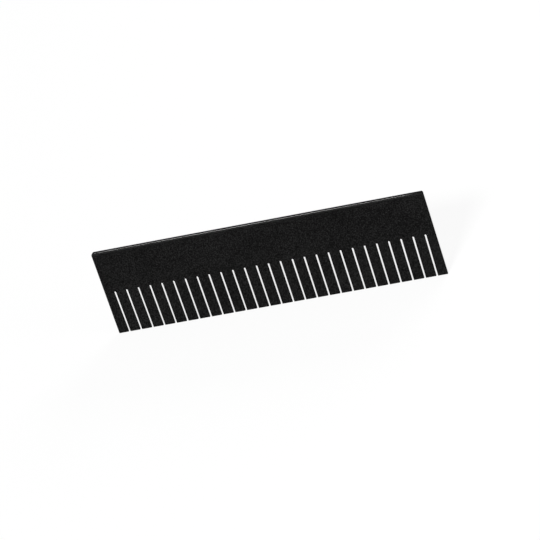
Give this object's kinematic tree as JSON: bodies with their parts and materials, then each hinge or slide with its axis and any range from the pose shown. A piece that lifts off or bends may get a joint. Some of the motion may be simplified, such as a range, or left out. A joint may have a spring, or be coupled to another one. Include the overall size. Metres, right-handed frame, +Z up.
{
  "type": "slotted divider panel",
  "caption": "Long flat black plastic divider panel with a row of narrow half-height slots for crossing panels and a round bead along the top edge.",
  "frame": {"origin": "middle of the panel's footprint, on the plane of the tooth tips", "axes": "+X along the panel towards its square-cornered end, +Y through its thickness towards the back, +Z up from the tooth tips to the bead"},
  "size_m": [0.5296, 0.0052, 0.1592],
  "materials": {
    "panel_plastic": "matte black plastic with a fine grain; plastic and grain are read from its look alone",
    "bead_plastic": "satin black plastic that catches a thin highlight, read from its look alone"
  },
  "bodies": {
    "root": {"slotted_panel": "panel_plastic", "top_edge_bead": "bead_plastic"}
  },
  "joints": []
}
